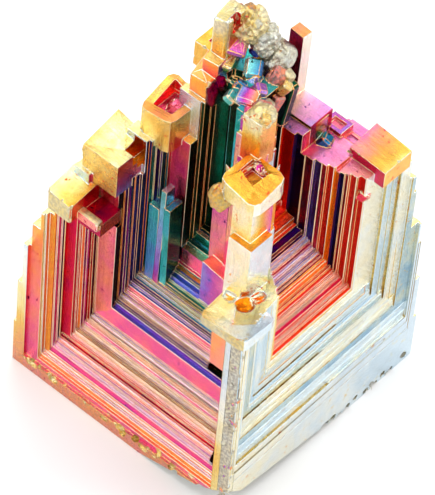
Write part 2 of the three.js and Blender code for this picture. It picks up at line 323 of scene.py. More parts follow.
rearLeftFunnel = [
    (1.0, 3.2, 31.6, -0.4, "sand", "straw", 2),
    (1.7, 4.0, 31.0, 1.2, "peach", "peach", 2),
    (2.4, 4.6, 30.2, 2.6, "orange", "salmon", 2),
    (3.2, 5.4, 29.6, 4.2, "pink", "pink", 2),
    (4.0, 6.0, 28.8, 5.6, "crimson", "magenta", 2),
    (5.0, 7.0, 28.0, 7.4, "salmon", "salmon", 1),
    (6.2, 8.4, 26.6, 10.6, "purple", "wine", 2),
    (7.2, 9.2, 26.0, 12.2, "lilac", "purple", 2),
    (8.4, 10.0, 25.2, 14.2, "blue", "lilac", 2),
    (9.6, 11.0, 24.4, 16.6, "teal", "teal", 2),
    (10.9, 12.0, 23.6, 19.0, "slate", "slate", 2),
    (12.2, 13.2, 22.4, 22.0, "salmon", "green", 1),
    (13.6, 14.2, 21.6, 24.6, "bottle", "bottle", 2),
]
above = 75.0  # higher than the crystal

terraceLook = {
    "tilt": 0.14,                   # degrees a terrace may lean
    "uneven": 0.22,                 # how uneven the fine steps are
    "highlightShare": 0.15,            # treads painted with hardly any film and a paler colour: a painted highlight
    "highlightTread": (-0.5, -0.6),
    "plainTread": (0.08, 0.15),
    # painted shade: how much darker the reveals between wall strips are painted
    "revealShades": (0.2, 0.7, 1.5),
    "wallFilm": 0.04,
    "shadedRiserShare": 0.38,              # risers painted nearly black: painted shade in the grooves between strips
    "shadedRiser": 2.2,
    "plainRiser": 0.15,
}

# where each funnel lies: the axis it goes in along, and whether from the low or the high side
funnels = {
    "left": (leftFunnel, 0, False),
    "right": (rightFunnel, 1, False),
    "rearRight": (rearRightFunnel, 0, True),
    "rearLeft": (rearLeftFunnel, 1, True),
}


def fineSteps(rows):
    steps = []
    for i, row in enumerate(rows):
        tilt = terraceLook["tilt"]
        turn = [random.uniform(-tilt, tilt) for _ in range(3)]
        steps.append((row[:4], row[4], row[5], turn))
        if i + 1 == len(rows):
            break
        following = rows[i + 1]
        for j in range(1, row[6]):
            uneven = terraceLook["uneven"]
            share = (j + random.uniform(-uneven, uneven)) / row[6]
            slide = [a + (b - a) * share for a, b in zip(row[:4], following[:4])]
            slide[2] = row[2]  # the wall strips stay broader than the floor's lines
            stray = random.uniform(-0.05, 0.05), random.uniform(-0.1, 0.5)
            steps.append((slide, (row[4], stray), (row[5], stray), turn))
    return steps


def cutTerrace(crystal, numbers, following, floorFinish, wallFinish, axis, high, turn):
    depth, near, far, floor = numbers
    side = body["side"][axis]
    inner = side - depth if high else depth
    outer = side + 2 if high else -2
    along = 1 - axis
    box = [0, 0, 0, 0, floor, above]
    box[2 * axis], box[2 * axis + 1] = min(inner, outer), max(inner, outer)
    box[2 * along], box[2 * along + 1] = near, far
    cutter = addBlock(box, "terrace")
    if following:
        # the wall and the floor of a terrace meet along a mitre
        pane = Vector((0, 0, 0))
        pane[along] = following[3] - floor + 0.01
        pane[2] = far - following[2] + 0.01
        corner = Vector((0, 0, floor))
        corner[along] = far
        bpy.ops.object.mode_set(mode="EDIT")
        bpy.ops.mesh.select_all(action="SELECT")
        bpy.ops.mesh.bisect(plane_co=corner, plane_no=pane)
        bpy.ops.object.mode_set(mode="OBJECT")

    def onWall(centre):
        if not following:
            return False
        return (centre[along] - far) * pane[along] + (centre[2] - floor) * pane[2] > 0

    look = terraceLook
    # painted highlight: some treads get hardly any film and a paler colour
    tread = look["highlightTread"] if random.random() < look["highlightShare"] else look["plainTread"]
    # painted shade on the reveals between wall strips
    shadow = random.choice(look["revealShades"])
    # painted shade: some risers are painted nearly black
    groove = look["shadedRiser"] if random.random() < look["shadedRiserShare"] else look["plainRiser"]

    def choose(centre, normal):
        if mainAxis(normal) == 2:
            return (floorFinish, tread)
        if mainAxis(normal) == along:
            return (wallFinish, (look["wallFilm"], shadow))
        return (wallFinish if onWall(centre) else floorFinish, (0.0, groove))

    def lines(centre, normal):
        if mainAxis(normal) in (2, along):
            return axis
        return along if onWall(centre) else 2

    paintPiece(cutter, choose, lines)
    pivot = Vector((outer, 18.0, 10.0)) if axis == 0 else Vector((18.0, outer, 10.0))
    turnPiece(cutter, pivot, smallTurn(*turn))
    combine(crystal, cutter, "DIFFERENCE")


# thin grooves round the broad pale border: depth, near, far, floor, width, finish; the groove finish
# paints a groove darker, as painted shade
grooves = [
    (0.22, 0.7, 33.2, 4.6, 0.16, "beige"),
    (0.3, 1.3, 32.6, 6.0, 0.22, "groove"),
    (0.42, 1.6, 31.6, 8.2, 0.12, "beige"),
    (0.62, 1.9, 30.4, 9.9, 0.22, "groove"),
    (0.75, 2.2, 29.5, 11.6, 0.12, "sand"),
    (0.85, 2.4, 28.6, 12.4, 0.14, "groove"),
    (1.15, 2.6, 28.2, 13.0, 0.22, "groove"),
    (1.1, 3.6, 27.3, 14.1, 0.12, "beige"),
    (1.45, 4.6, 26.0, 15.2, 0.2, "groove"),
    (1.4, 5.6, 25.0, 16.3, 0.14, "gold"),
    (1.4, 6.6, 24.0, 17.3, 0.16, "sand"),
    (0.2, 0.2, 33.6, 2.9, 0.14, "sand"),
]


def cutGroove(crystal, depth, near, far, floor, width, finish):
    ring = addBlock((near - width, far + width, -2, depth, floor - width, above), "groove")
    paintPiece(ring, lambda centre, normal: finish, lambda centre, normal: 0)
    middle = addBlock((near, far, -3, depth + 1, floor, above + 1), "grooveMiddle")
    paintPiece(middle, lambda centre, normal: finish, lambda centre, normal: 0)
    combine(ring, middle, "DIFFERENCE")
    turnPiece(ring, Vector((18, depth, floor)), smallTurn(0, random.uniform(-0.25, 0.25), 0))
    combine(crystal, ring, "DIFFERENCE")


# blocks and columns grown on the four ridges
# box as x0, x1, y0, y1, z0, z1; pits are steps inwards and downwards; lift raises a corner of the top
buds = {
    "edgeStrip": {"box": (-0.02, 0.6, 1.4, 2.55, -2.0, 30.0),
        "left": ("peach", "yellow", 2, 24.0, 6.0), "top": "straw"},
    "frontEdge": {"box": (-0.05, 0.9, -0.05, 1.5, -3.0, 30.0), "left": "grain", "right": "cream",
        "top": "grey"},
    "platform": {"box": (-0.3, 5.4, -0.3, 6.6, 28.9, 30.7), "left": "beige", "right": "silver",
        "top": (("silver", (0.0, 0.0)), ("straw", (0.0, -0.1)), 1, 0.5, 4.6),
        "lift": {"frontFar": -0.5, "rearLeft": -0.5}, "corner": 0.7},
    "frontColumn": {"box": (4.8, 8.6, 4.0, 7.4, 29.0, 39.0), "left": "cream", "right": "silver",
        "top": "gold"},
    "middleColumn": {"box": (5.8, 9.4, 4.9, 7.9, 37.0, 47.0),
        "left": ("straw", "cream", 2, 39.0, 47.0), "right": ("cream", "salmon", 0, 6.2, 8.6),
        "top": "gold"},
    "cap": {"box": (4.2, 9.8, 3.5, 9.1, 45.6, 48.4), "left": "straw", "right": "cream",
        "top": ("yellow", "gold", 0, 4.0, 8.0), "corner": 1.1,
        "pits": [(1.0, 0.0), (0.45, 0.6), (0.4, 1.0)], "pitFinish": ["gold", "amber", "magenta"],
        "shift": (0.7, 0.5), "lift": {"frontLeft": -0.8}},
    "upperColumn": {"box": (9.4, 12.2, 7.7, 10.4, 46.0, 54.0),
        "left": ("amber", "straw", 2, 48.5, 53.0), "right": ("peach", "sand", 2, 49, 54),
        "top": "beige", "pits": [(0.5, 0.0), (0.3, 0.5)], "pitFinish": ["beige", "brown"]},
    "peachBlock": {"box": (1.0, 4.0, 2.6, 5.4, 21.2, 28.4),
        "left": ("peach", "salmon", 2, 28, 21), "top": "straw"},
    "pinkBlock": {"box": (10.0, 13.0, 11.0, 14.7, 15.0, 23.2),
        "left": ("pink", "lilac", 1, 11.0, 14.8), "top": "salmon", "lift": {"rearLeft": 0.8}},
    "pinkPanel": {"box": (12.0, 14.5, 12.0, 15.3, 15.0, 33.8),
        "left": ("salmon", "pink", 2, 22, 34), "top": "salmon"},
    "sideWall": {"box": (8.7, 11.0, 5.6, 8.8, 25.0, 45.0), "left": "pink",
        "right": ("peach", "amber", 2, 43, 30)},
    "tealStub": {"box": (9.0, 11.2, 21.0, 22.5, 15.0, 28.6), "left": ("blue", "teal", 2, 18, 28),
        "right": "slate", "top": "mint"},
    "tealRod": {"box": (9.2, 11.5, 19.3, 20.3, 15.0, 29.8), "left": "teal", "right": "green",
        "top": "mint"},
    "tealHook": {"box": (9.0, 10.6, 20.4, 21.2, 15.0, 32.4), "left": ("lilac", "mint", 2, 26, 33),
        "right": "blue", "top": "silver"},
    "lowBud": {"box": (0, 5.2, 27.0, 30.7, 29.0, 32.3), "left": "beige", "right": "brown",
        "top": ("straw", "gold", 1, 30.0, 27.0),
        "lift": {"rearFar": 0.9, "frontLeft": -0.5, "frontFar": 0.2}, "corner": 0.3},
    "wineFloor": {"box": (1.8, 5.4, 23.8, 27.4, 27.6, 29.6), "left": "wine", "right": "brown",
        "top": "wine"},
    "ledgeBar": {"box": (1.3, 2.5, 23.9, 28.4, 28.6, 30.2), "left": "salmon", "right": "sand",
        "top": "beige", "round": 0.35},
    "middleBud": {"box": (4.3, 10.2, 23.8, 29.3, 32.6, 38.0), "left": "sand",
        "right": ("mauve", "brown", 2, 33.5, 38.0), "top": ("straw", "sand", 1, 25.0, 28.8),
        "lift": {"rearFar": 1.3, "rearLeft": -0.3, "frontLeft": -0.2}},
    "highBud": {"box": (9.4, 15.3, 20.7, 25.6, 38.6, 44.0),
        "left": ("yellow", "sand", 2, 41.5, 44.0), "right": ("gold", "orange", 2, 42.0, 39.0),
        "top": ("sand", "peach", 1, 25.0, 21.0), "pits": [(0.75, 0.0), (0.3, 0.8), (0.45, 1.0)],
        "pitFinish": ["peach", "red", "pink"], "shift": (0.3, 0.0), "corner": 0.95,
        "lift": {"rearLeft": -0.4, "rearFar": 0.8, "frontFar": -0.3}},
    "orangeBud": {"box": (13.6, 16.8, 18.9, 21.7, 43.0, 48.8),
        "left": ("orange", "gold", 2, 46.0, 49.0), "right": "wine", "top": "peach",
        "lift": {"rearFar": 1.5, "rearLeft": -0.2}},
    "pinkSlab": {"box": (14.8, 18.4, 19.0, 21.2, 46.0, 51.2),
        "left": ("crimson", "peach", 2, 48.0, 51.0), "right": "magenta", "top": "yellow",
        "turn": 8.0},
    "apex": {"box": (16.0, 19.4, 18.8, 21.3, 47.0, 57.4), "left": ("salmon", "beige", 2, 49, 56),
        "right": ("salmon", "sand", 2, 52, 57), "top": ("straw", "beige", 0, 16.5, 19.5),
        "corner": 0.5, "round": 0.3, "lift": {"rearLeft": -0.8}},
    "rightBud": {"box": (23.9, 28.7, 0, 5.5, 37.6, 40.4), "left": "crimson", "right": "gold",
        "top": ("yellow", "salmon", 1, -0.3, 4.6), "lift": {"rearFar": 0.5, "frontLeft": -0.2}},
    "rightStep": {"box": (24.9, 27.2, 7.6, 10.5, 36.0, 40.2), "left": "wine", "right": "salmon",
        "top": "mauve", "pits": [(0.35, 0.0), (0.2, 0.5)], "pitFinish": ["mauve", "pink"]},
    "rightNotch": {"box": (25.1, 27.0, 5.2, 7.8, 36.0, 39.2), "left": "crimson", "right": "pink",
        "top": "salmon", "pits": [(0.3, 0.0), (0.2, 0.5)], "pitFinish": ["salmon", "magenta"]},
    "ridgeShelf": {"box": (21.2, 25.2, 9.4, 14.6, 38.0, 43.0), "left": "bottle", "right": "wine",
        "top": (("salmon", (0.0, -0.5)), ("mauve", (0.0, -0.4)), 1, 13.8, 9.5)},
    "tower": {"box": (23.8, 25.3, 13.9, 16.0, 38.0, 52.8), "left": "wine",
        "right": (("straw", (0.0, -0.5)), ("cream", (0.0, -0.5)), 2, 43, 52), "top": "peach",
        "turn": -4.0},
    "rearBud": {"box": (27.0, 31.2, 27.4, 32.0, 32.0, 36.0), "left": "gold", "right": "straw",
        "top": "cream", "far": "peach", "rear": "salmon", "pits": [(0.9, 0.0), (0.3, 1.0)],
        "pitFinish": ["gold", "crimson"]},
    "rearHighBud": {"box": (22.8, 26.8, 22.6, 26.6, 36.0, 41.0), "left": "gold",
        "right": "orange", "top": "straw", "far": "pink", "rear": "gold",
        "pits": [(0.8, 0.0), (0.3, 1.0)], "pitFinish": ["peach", "magenta"]},
    "rearPeak": {"box": (19.8, 23.0, 19.4, 22.6, 42.0, 46.5), "left": "lilac", "right": "pink",
        "top": "peach", "far": "salmon", "rear": "orange"},
}


def pickFaces(piece, test):
    bpy.ops.object.mode_set(mode="OBJECT")
    mesh = piece.data
    for part in (mesh.vertices, mesh.edges, mesh.polygons):
        part.foreach_set("select", [False] * len(part))
    for face in mesh.polygons:
        if test(face):
            face.select = True
    bpy.ops.object.mode_set(mode="EDIT")
    bpy.ops.mesh.select_mode(type="FACE")


def growBud(crystal, name, bud):
    x0, x1, y0, y1, z0, z1 = bud["box"]
    block = addBlock(bud["box"], name)
    if "corner" in bud:
        pickFaces(block, lambda face: False)
        bpy.ops.mesh.select_mode(type="EDGE")
        bpy.ops.object.mode_set(mode="OBJECT")
        for edge in block.data.edges:
            low, high = (block.data.vertices[i].co for i in edge.vertices)
            edge.select = abs(low.z - high.z) > 0.5
        bpy.ops.object.mode_set(mode="EDIT")
        bpy.ops.mesh.bevel(offset=bud["corner"], segments=2, affect="EDGES")
    pickFaces(block, lambda face: face.normal.z > 0.9)
    shiftX, shiftY = bud.get("shift", (0.0, 0.0))
    levels = []
    for inset, drop in bud.get("pits", []):
        bpy.ops.mesh.inset(thickness=inset, depth=0.0)
        if inset > 0.6:
            bpy.ops.transform.translate(value=(shiftX, shiftY, 0.0))
        if drop:
            bpy.ops.mesh.extrude_region_move(TRANSFORM_OT_translate={"value": (0.0, 0.0, -drop)})
        levels.append(drop)
    bpy.ops.object.mode_set(mode="OBJECT")
    floors = []
    level = z1
    for drop in levels:
        level -= drop
        floors.append(level)
    sides = {key: bud[key] for key in ("left", "right", "top", "far", "rear") if key in bud}
    plain = sidesPaint(sides, bud.get("left", "salmon"))
    pitFinish = bud.get("pitFinish", [])

    def choose(centre, normal):
        inside = x0 + 0.3 < centre.x < x1 - 0.3 and y0 + 0.3 < centre.y < y1 - 0.3
        if inside and floors:
            for k in range(len(floors) - 1, -1, -1):
                if centre.z < (floors[k - 1] if k else z1) - 0.02 or (k == 0 and normal.z > 0.5):
                    return pitFinish[k]
        return plain(centre, normal)
    paintPiece(block, choose, sideLines)
    for key, rise in bud.get("lift", {}).items():
        for spot in block.data.vertices:
            atX = spot.co.x > (x0 + x1) / 2 if "Far" in key else spot.co.x < (x0 + x1) / 2
            atY = spot.co.y > (y0 + y1) / 2 if key.startswith("rear") else spot.co.y < (y0 + y1) / 2
            if atX and atY and spot.co.z > z1 - 0.6:
                spot.co.z += rise
    if "round" in bud:
        trim = block.modifiers.new("round", "BEVEL")
        trim.width = bud["round"]
        trim.segments = 3
        trim.limit_method = "ANGLE"
        bpy.ops.object.modifier_apply(modifier="round")
    turnPiece(block, Vector(((x0 + x1) / 2, (y0 + y1) / 2, z0)),
              smallTurn(random.uniform(-0.8, 0.8), random.uniform(-0.8, 0.8),
                        bud.get("turn", random.uniform(-1.0, 1.0))))
    combine(crystal, block, "UNION")


# pits eaten into flat places: x0, x1, y0, y1, floor, finish; the black and maroon pits are painted
# shade in the hollow
pits = [
    (7.0, 10.4, 23.4, 25.2, 36.2, "amber"),
    (7.8, 10.4, 23.4, 24.6, 35.2, "gold"),
    (17.0, 18.2, 18.6, 19.4, 54.8, "red"),
    (2.2, 6.2, 24.2, 26.0, 25.8, "black"),
    (6.3, 7.1, 7.0, 9.6, 10.9, "black"),
    (2.0, 2.7, 3.0, 4.6, 1.6, "maroon"),
]

# knobbly lumps frozen on the tops: place, size, finish, how coarse
lumps = [
    ((19.7, 18.3, 54.6), (2.1, 2.1, 2.5), "beige", 1.1),
    ((20.4, 16.6, 53.0), (1.8, 1.8, 2.1), "grey", 1.1),
    ((21.4, 15.2, 50.4), (2.1, 1.7, 1.9), "grey", 0.5),
    ((19.4, 13.6, 48.6), (1.5, 1.2, 2.6), "roughPink", 0.5),
    ((11.0, 9.0, 53.6), (1.6, 1.6, 1.1), "beige", 0.6),
    ((13.4, 10.6, 50.0), (1.6, 1.5, 2.4), "roughPink", 0.5),
    ((4.7, 8.9, 44.8), (1.4, 1.3, 1.8), ("beige", (0.06, 0.6)), 0.5),
    ((14.0, 18.5, 47.0), (0.9, 0.8, 2.1), "maroon", 0.12),
    ((14.8, 18.2, 48.8), (0.8, 0.8, 1.0), "maroon", 0.12),
]

# round bowls eaten into the platform and the cap: middle, size, finish
bowls = [
    ((4.3, 3.5, 30.9), (1.4, 1.3, 1.0), "amber"),
    ((3.9, 5.5, 30.8), (0.8, 1.0, 0.8), "gold"),
    ((6.2, 3.1, 30.6), (1.1, 0.8, 1.0), "amber"),
    ((8.3, 7.0, 48.2), (1.1, 1.2, 0.9), "magenta"),
    ((13.2, 22.9, 42.6), (1.5, 1.2, 1.1), "pink"),
]

# facets and slabs grown at odd angles in the knot at the top: middle, size, turn, finish
crags = [
    ((17.9, 18.6, 52.4), (2.6, 2.4, 1.6), (20, -25, 30), ("mauve", "pink", 0, 16.6, 19.2)),
    ((16.9, 19.0, 50.3), (2.4, 1.6, 1.0), (5, -10, 20), "yellow"),
    ((19.8, 17.0, 51.6), (2.0, 1.6, 1.6), (30, 15, 10), ("slate", (-0.08, 0.6))),
    ((18.2, 16.2, 49.8), (2.6, 2.2, 2.6), (12, -18, 35),
     (("mint", (0.0, -0.4)), ("slate", (0.0, -0.2)), 1, 17.2, 15.2)),
    ((17.4, 15.4, 49.2), (1.8, 1.8, 2.2), (-20, 25, 12), ("lilac", (0.04, -0.2))),
    ((19.2, 14.6, 48.6), (1.3, 1.6, 4.0), (18, 22, 10), "mauve"),
    ((19.8, 13.2, 48.6), (1.5, 1.5, 4.2), (14, 20, -15), "beige"),
    ((17.8, 12.6, 47.2), (1.8, 1.4, 3.0), (10, 25, -10), "roughPink"),
    ((18.8, 12.0, 49.6), (1.2, 1.2, 2.0), (30, 10, 25), "sand"),
    ((14.7, 14.0, 49.6), (2.2, 2.6, 2.0), (0, -12, 18), ("salmon", "teal", 1, 13.2, 15.4)),
    ((21.8, 15.3, 51.6), (2.6, 1.4, 1.2), (25, 30, 20), "grey"),
    ((16.2, 17.2, 49.6), (1.4, 1.6, 1.6), (30, 10, 40), "bottle"),
    ((15.6, 16.0, 49.4), (1.2, 1.4, 1.4), (15, 35, 20), "slate"),
    ((13.2, 12.4, 49.2), (1.6, 1.6, 1.4), (10, 15, 35), "pink"),
    ((13.6, 15.6, 49.4), (1.5, 1.4, 1.2), (35, 10, 15), "mint"),
    ((16.2, 13.6, 50.0), (1.6, 1.6, 1.6), (25, 20, 50), "mauve"),
    ((15.4, 11.8, 49.2), (1.6, 1.3, 1.8), (20, 30, 10), "grey"),
    ((20.6, 15.0, 49.6), (1.6, 1.5, 1.8), (40, 10, 20), "maroon"),
    ((20.2, 12.5, 45.6), (1.4, 1.4, 6.8), (5, 6, 0), "bottle"),
    ((18.9, 19.6, 56.6), (1.6, 1.4, 1.4), (30, 20, 10), "beige"),
    ((19.9, 18.9, 56.8), (1.2, 1.2, 1.2), (45, 30, 10), "rough"),
    ((20.9, 17.7, 55.2), (1.4, 1.2, 1.4), (15, 40, 30), "beige"),
    ((21.4, 16.5, 53.8), (1.4, 1.3, 1.3), (35, 20, 45), "sand"),
    ((19.3, 17.2, 56.0), (1.1, 1.1, 1.1), (20, 50, 15), "grey"),
    ((10.4, 8.0, 54.2), (1.2, 1.2, 1.0), (25, 15, 40), "sand"),
    ((11.7, 8.7, 53.8), (1.3, 1.2, 1.6), (40, 15, 20), "beige"),
    ((12.3, 9.8, 52.6), (1.2, 1.0, 1.8), (20, 35, 10), "cream"),
    ((21.4, 10.9, 41.0), (1.6, 2.4, 2.0), (10, 20, 0), "bottle"),
    ((23.2, 8.6, 39.6), (1.8, 1.6, 1.8), (30, 20, 15), "slate"),
    ((23.4, 6.6, 37.6), (1.4, 1.6, 2.6), (20, 10, 30), "wine"),
    ((22.8, 4.6, 36.0), (1.2, 1.6, 2.2), (15, 20, 40), "maroon"),
    ((23.0, 2.2, 35.6), (1.4, 1.6, 1.6), (30, 15, 25), "red"),
]


def growCrag(crystal, middle, size, turn, finish):
    x, y, z = middle
    a, b, c = (value / 2 for value in size)
    crag = addBlock((x - a, x + a, y - b, y + b, z - c, z + c), "crag")
    bpy.ops.object.mode_set(mode="EDIT")
    bpy.ops.mesh.select_all(action="SELECT")
    bpy.ops.mesh.bevel(offset=min(a, b, c) * 0.35, segments=1, affect="EDGES")
    bpy.ops.object.mode_set(mode="OBJECT")
    paintPiece(crag, lambda centre, normal: finish, sideLines)
    turnPiece(crag, Vector(middle), smallTurn(*turn))
    combine(crystal, crag, "UNION")


lumpShape = {"swell": 0.25, "knobs": 0.16, "grit": 0.10}  # heights, with the size of the lump as 1


def growLump(crystal, place, size, finish, coarse, subdivisions=4, how="UNION"):
    clearChoice()
    bpy.ops.mesh.primitive_ico_sphere_add(subdivisions=subdivisions, radius=1.0)
    lump = bpy.context.object
    shift = Vector((place[0] * 1.7, place[1] * 2.3, place[2] * 1.1))
    for spot in lump.data.vertices:
        way = spot.co.normalized()
        swell = lumpShape["swell"] * noise.noise(way * 1.5 + shift)
        swell += lumpShape["knobs"] * coarse * noise.noise(way * 5.0 + shift)
        swell += lumpShape["grit"] * coarse * noise.noise(way * 11.0 + shift)
        spot.co = way * (1.0 + swell)
    lump.data.transform(Matrix.Translation(place) @ Matrix.Diagonal((*size, 1.0)))
    paintPiece(lump, lambda centre, normal: finish, lambda centre, normal: 2)
    combine(crystal, lump, how)


# broken and worn places

wear = {
    "breaks": [  # where each break meets the x, y and z edges, and its finish
        ((24.0, 14.0, -0.4), "grey"),
        ((6.0, 7.0, 1.6), "sand"),
    ],
    "edgeGrains": 70, "grainSize": (0.22, 0.42), "grainFinishes": ["grey", "grain", "mauve"],
    "rimChips": 70, "rimChipSize": (0.25, 0.7),
    "budChips": 6, "budChipSize": (0.12, 0.34),
    "chippedBuds": ["lowBud", "middleBud", "highBud", "orangeBud", "rightBud", "cap", "rearBud",
                    "rearHighBud", "apex"],
    "faceHoles": 40, "holeSize": (0.12, 0.35),
}


def breakCorner(crystal, reach, finish):
    x, y, z = reach
    low = body["base"]
    normal = Vector((1.0 / x, 1.0 / y, 1.0 / (z - low))).normalized()
    spot = Vector((0, 0, z))
    clearChoice()
    bpy.ops.mesh.primitive_cube_add(size=1.0, scale=(60, 60, 30))
    cutter = bpy.context.object
    bpy.ops.object.transform_apply(location=True, rotation=True, scale=True)
    paintPiece(cutter, lambda centre, face: finish, lambda centre, face: 0)
    turn = normal.to_track_quat("Z", "Y").to_matrix().to_4x4()
    cutter.data.transform(Matrix.Translation(spot) @ turn @ Matrix.Translation((0, 0, -15)))
    combine(crystal, cutter, "DIFFERENCE")


def scatterWear(crystal, setup):
    for _ in range(setup["edgeGrains"]):
        place = (random.uniform(0.1, 0.3), random.uniform(0.1, 1.4), random.uniform(-1.5, 29.4))
        size = random.uniform(*setup["grainSize"])
        finish = random.choice(setup["grainFinishes"])
        growLump(crystal, place, (size * 0.8, size, size * 1.2), finish, 1.0, 2)
    for i in range(setup["rimChips"]):
        size = random.uniform(*setup["rimChipSize"])
        along = random.uniform(3, 34)
        place = (0.0, along, -1.6) if i % 2 else (along, 0.0, -3.0)
        place = (place[0] + random.uniform(-0.2, 0.2), place[1] + random.uniform(-0.2, 0.2),
                 place[2] + random.uniform(-0.6, 0.6))
        chipAt(crystal, place, size, "sand" if i % 2 else "grey")
    for name in setup["chippedBuds"]:
        x0, x1, y0, y1, z0, z1 = buds[name]["box"]
        for _ in range(setup["budChips"]):
            edge = random.choice(((x0, None, z1), (None, y0, z1), (x0, y0, None), (x0, y1, None),
                                  (x1, y0, None)))
            place = [random.uniform(low, high) if at is None else at
                     for at, low, high in zip(edge, (x0, y0, max(z0, z1 - 4)), (x1, y1, z1))]
            chipAt(crystal, place, random.uniform(*setup["budChipSize"]), "beige")
    for _ in range(setup["faceHoles"]):
        place = (random.uniform(23.5, 31.0), -0.02, random.uniform(4.0, 34.0))
        chipAt(crystal, place, random.uniform(*setup["holeSize"]), "brown")


def chipAt(crystal, place, size, finish):
    clearChoice()
    bpy.ops.mesh.primitive_ico_sphere_add(subdivisions=1, radius=size)
    chip = bpy.context.object
    turn = smallTurn(random.uniform(0, 90), random.uniform(0, 90), random.uniform(0, 90)).to_4x4()
    chip.data.transform(Matrix.Translation(place) @ turn @ Matrix.Diagonal((1.5, 0.8, 0.9, 1.0)))
    paintPiece(chip, lambda centre, normal: finish, lambda centre, normal: 0)
    combine(crystal, chip, "DIFFERENCE")


def buildCrystal():
    steps = body["steps"]
    crystal = addBlock((*steps[0][:4], body["base"], steps[0][4]), "bismuthCrystal")
    paintPiece(crystal, sidesPaint(body["sides"], "straw"), sideLines)
    for i, (x0, x1, y0, y1, top) in enumerate(steps[1:]):
        step = addBlock((x0, x1, y0, y1, body["base"], top))
        if i >= len(steps) - 3:  # the last two steps are the core
            sides = body["core"]
        else:
            sides = body["ridge"] if top in body["ridgeTops"] else body["sides"]
        paintPiece(step, sidesPaint(sides, "straw"), sideLines)
        combine(crystal, step, "UNION")
    print("body stacked")
    for name, (rows, axis, high) in funnels.items():
        fine = fineSteps(rows)
        for i, (numbers, floorFinish, wallFinish, turn) in enumerate(fine):
            following = fine[i + 1][0] if i + 1 < len(fine) else None
            cutTerrace(crystal, numbers, following, floorFinish, wallFinish, axis, high, turn)
        print(name, "funnel cut,", len(fine), "terraces")
    for groove in grooves:
        cutGroove(crystal, *groove)
    for name, bud in buds.items():
        growBud(crystal, name, bud)
    for x0, x1, y0, y1, floor, finish in pits:
        pit = addBlock((x0, x1, y0, y1, floor, floor + 3))
        paintPiece(pit, lambda centre, normal: finish, sideLines)
        combine(crystal, pit, "DIFFERENCE")
    print("buds and pits done")
    for place, size, finish, coarse in lumps:
        growLump(crystal, place, size, finish, coarse)
    for place, size, finish in bowls:
        growLump(crystal, place, size, finish, 0.2, 3, "DIFFERENCE")
    for crag in crags:
        growCrag(crystal, *crag)
    for reach, finish in wear["breaks"]:
        breakCorner(crystal, reach, finish)
    scatterWear(crystal, wear)
    print("lumps and wear done,", len(crystal.data.polygons), "faces")
    return crystal


crystal = buildCrystal()


# soft edges

edging = {
    "width": 0.05,     # mm
    "angle": 25.0,     # degrees, past which an edge is softened
    "weld": 0.004,     # mm
    "slimness": 1.6,   # widths of softening, under which a slanting face counts as an edge
    "square": 0.95,    # how squarely a face must lie to be a flat one
}


def softenEdges(crystal, setup):
    clearChoice()
    bpy.context.view_layer.objects.active = crystal
    crystal.select_set(True)
    bpy.ops.object.mode_set(mode="EDIT")
    bpy.ops.mesh.select_all(action="SELECT")
    bpy.ops.mesh.remove_doubles(threshold=setup["weld"])
    bpy.ops.mesh.quads_convert_to_tris(quad_method="BEAUTY", ngon_method="BEAUTY")
    bpy.ops.object.mode_set(mode="OBJECT")
    bevel = crystal.modifiers.new("softEdge", "BEVEL")
    bevel.width = setup["width"]
    bevel.segments = 1
    bevel.limit_method = "ANGLE"
    bevel.angle_limit = math.radians(setup["angle"])
    bevel.use_clamp_overlap = False
    low = [min(spot.co[i] for spot in crystal.data.vertices) for i in range(3)]
    high = [max(spot.co[i] for spot in crystal.data.vertices) for i in range(3)]
    bpy.ops.object.modifier_apply(modifier="softEdge")
    mesh = crystal.data
    for spot in mesh.vertices:  # no rounded corner may stand out past the sharp shape
        spot.co = [min(max(v, a), b) for v, a, b in zip(spot.co, low, high)]
    # the faces of the softened edges are marked for the painted highlight that the film gives them
    mark = mesh.attributes.new("edge", "FLOAT", "FACE")
    values = []
    for face in mesh.polygons:
        spots = [mesh.vertices[i].co for i in face.vertices]
        rim = sum((a - b).length for a, b in zip(spots, spots[1:] + spots[:1]))
        flat = max(abs(v) for v in face.normal)
        slim = rim > 0 and face.area / (rim / 2) < setup["width"] * setup["slimness"]
        values.append(1.0 if slim and flat < setup["square"] else 0.0)
    mark.data.foreach_set("value", values)


softenEdges(crystal, edging)
crystal.data.transform(Matrix.Scale(0.001, 4) @ Matrix.Translation(frontCorner))
print("edges softened,", len(crystal.data.polygons), "faces")


# the oxide film

filmColours = [
    (0.00, "#cfe0ea"), (0.05, "#e8eeee"), (0.12, "#f4efd8"), (0.20, "#f6e39c"), (0.28, "#f2bf50"),
    (0.36, "#f6a05e"), (0.43, "#f7988c"), (0.50, "#f278a8"), (0.57, "#d953a6"), (0.64, "#a05cc4"),
    (0.70, "#a49ad8"), (0.77, "#6aa4d4"), (0.85, "#5cc8ca"), (0.92, "#2a9c80"), (1.00, "#0f5044"),
]


def linearColour(code):
    parts = [int(code[i:i + 2], 16) / 255 for i in (1, 3, 5)]
    return (*[c / 12.92 if c <= 0.04045 else ((c + 0.055) / 1.055) ** 2.4 for c in parts], 1.0)


def nodeMaths(nodes, links, operation, first, second, clamp=False):
    node = nodes.new("ShaderNodeMath")
    node.operation = operation
    node.use_clamp = clamp
    for socket, value in zip(node.inputs, (first, second)):
        if isinstance(value, (int, float)):
            socket.default_value = value
        else:
            links.new(value, socket)
    return node.outputs[0]


